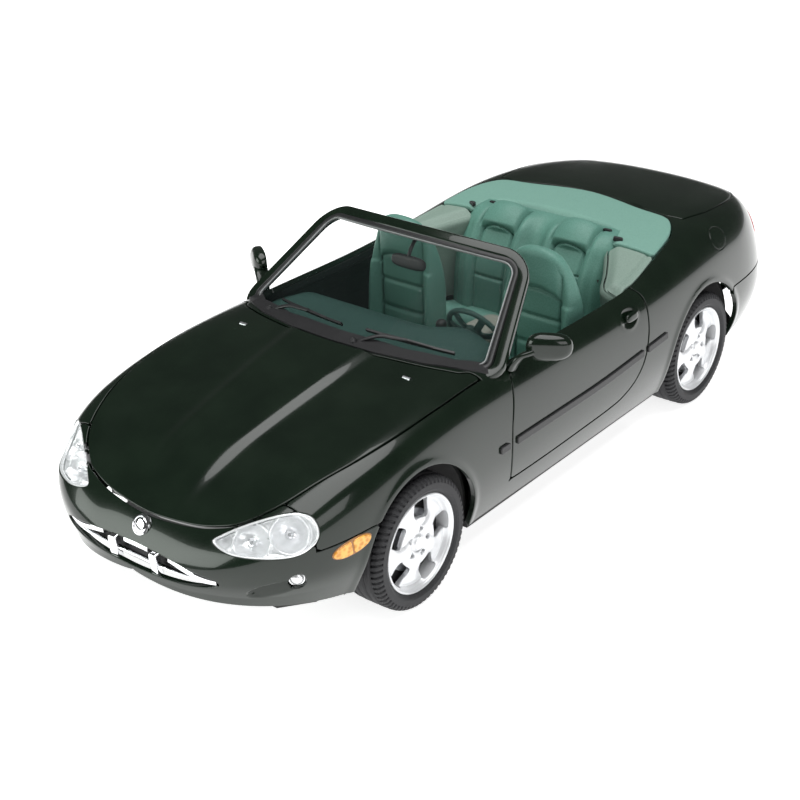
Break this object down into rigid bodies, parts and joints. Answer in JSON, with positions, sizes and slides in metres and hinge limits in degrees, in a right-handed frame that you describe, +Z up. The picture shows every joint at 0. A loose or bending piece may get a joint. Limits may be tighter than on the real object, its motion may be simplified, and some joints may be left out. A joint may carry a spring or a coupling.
{
  "type": "diecast collector car",
  "caption": "Scale convertible with opening hood, trunk and doors, steering front wheels and a trimmed cabin.",
  "frame": {"origin": "centre of the bounding box's bottom face, on the ground between the wheels", "axes": "+Y towards the tail, so the nose faces -Y; +X towards the car's left side; +Z up"},
  "size_m": [0.1144, 0.2633, 0.0742],
  "materials": {
    "body_paint": "gloss",
    "black_trim": "satin",
    "mirror_film": "polished",
    "clear_glazing": "gloss",
    "deck_green": "matte",
    "carpet": "matte",
    "interior_green": "matte",
    "steel": "satin",
    "black_base": "matte",
    "wheel_silver": "satin",
    "tyre_rubber": "matte",
    "engine_grey": "satin",
    "lamp_lens": "gloss",
    "chrome_plating": "polished",
    "red_lens": "gloss"
  },
  "bodies": {
    "car": {"body_shell": "body_paint", "rub_strips_body": "black_trim", "windscreen_frame": "body_paint", "windscreen_seal": "black_trim", "windscreen_glass": "clear_glazing", "cowl_panel": "black_trim", "wipers": "black_trim", "rear_view_mirror": "black_trim", "sun_visors": "black_trim", "tonneau_cover": "deck_green", "interior_tub": "carpet", "dashboard": "interior_green", "centre_console": "interior_green", "seat_left": "interior_green", "seat_right": "interior_green", "rear_seat": "interior_green", "hinge_brackets": "black_base", "trunk_tub": "black_base", "chassis_base": "black_base", "arch_liners": "black_base", "axle_bridge": "black_base", "engine": "engine_grey", "radiator": "black_base", "headlamp_lenses": "lamp_lens", "headlamp_reflectors": "chrome_plating", "grille_insert": "black_base", "grille_chrome": "chrome_plating", "front_trim": "chrome_plating", "rear_trim": "red_lens"},
    "hood": {"hood": "body_paint", "hinge_arms_hood": "steel"},
    "trunk": {"trunk_lid": "body_paint", "hinge_arms_trunk": "steel"},
    "door_left": {"door_left": "body_paint", "door_trim_left": "black_trim", "door_handle_left": "body_paint", "mirror_left": "body_paint", "mirror_glass_left": "mirror_film", "rub_strip_door_left": "black_trim", "hinge_arms_door_left": "steel"},
    "door_right": {"door_right": "body_paint", "door_trim_right": "black_trim", "door_handle_right": "body_paint", "mirror_right": "body_paint", "mirror_glass_right": "mirror_film", "rub_strip_door_right": "black_trim", "hinge_arms_door_right": "steel"},
    "knuckle_left": {"knuckle_left": "steel"},
    "knuckle_right": {"knuckle_right": "steel"},
    "tie_rod": {"tie_rod": "steel"},
    "wheel_front_left": {"rim_front_left": "wheel_silver", "tyre_front_left": "tyre_rubber"},
    "wheel_front_right": {"rim_front_right": "wheel_silver", "tyre_front_right": "tyre_rubber"},
    "rear_wheelset": {"rear_axle": "steel", "rim_rear_left": "wheel_silver", "rim_rear_right": "wheel_silver", "tyre_rear_left": "tyre_rubber", "tyre_rear_right": "tyre_rubber"},
    "steering": {"steering_wheel": "black_trim"}
  },
  "joints": [
    {"name": "hood_hinge", "type": "hinge", "parent": "car", "child": "hood", "pos_m": [0, -0.038, 0.047], "axis": [-1, 0, 0], "range_deg": [0, 50]},
    {"name": "trunk_hinge", "type": "hinge", "parent": "car", "child": "trunk", "pos_m": [0, 0.062, 0.051], "axis": [1, 0, 0], "range_deg": [0, 60]},
    {"name": "door_left_hinge", "type": "hinge", "parent": "car", "child": "door_left", "pos_m": [0.0452, -0.047, 0.03], "axis": [0, 0, -1], "range_deg": [0, 55]},
    {"name": "door_right_hinge", "type": "hinge", "parent": "car", "child": "door_right", "pos_m": [-0.0452, -0.047, 0.03], "axis": [0, 0, 1], "range_deg": [0, 55]},
    {"name": "steer_left", "type": "hinge", "parent": "car", "child": "knuckle_left", "pos_m": [0.0335, -0.0778, 0.0184], "axis": [0, 0, 1], "range_deg": [-22, 22]},
    {"name": "steer_right", "type": "hinge", "parent": "car", "child": "knuckle_right", "pos_m": [-0.0335, -0.0778, 0.0184], "axis": [0, 0, 1], "range_deg": [-22, 22]},
    {"name": "tie_rod_slide", "type": "slide", "parent": "car", "child": "tie_rod", "axis": [-1, 0, 0], "range_m": [-0.0028, 0.0028]},
    {"name": "steering_wheel_turn", "type": "hinge", "parent": "car", "child": "steering", "pos_m": [0.021, -0.017, 0.0476], "axis": [0, 0.8862, 0.4633], "range_deg": [-26, 26]},
    {"name": "wheel_front_left_spin", "type": "hinge", "parent": "knuckle_left", "child": "wheel_front_left", "pos_m": [0.0422, -0.0778, 0.0184], "axis": [1, 0, 0], "continuous": true},
    {"name": "wheel_front_right_spin", "type": "hinge", "parent": "knuckle_right", "child": "wheel_front_right", "pos_m": [-0.0422, -0.0778, 0.0184], "axis": [1, 0, 0], "continuous": true},
    {"name": "rear_wheels_spin", "type": "hinge", "parent": "car", "child": "rear_wheelset", "pos_m": [0, 0.066, 0.0184], "axis": [1, 0, 0], "continuous": true}
  ],
  "couplings": [
    {"joint": "steer_right", "follows": "steer_left", "ratio": 1},
    {"joint": "tie_rod_slide", "follows": "steer_left", "m_per_rad": 0.007},
    {"joint": "steering_wheel_turn", "follows": "steer_left", "ratio": 1.1667}
  ]
}
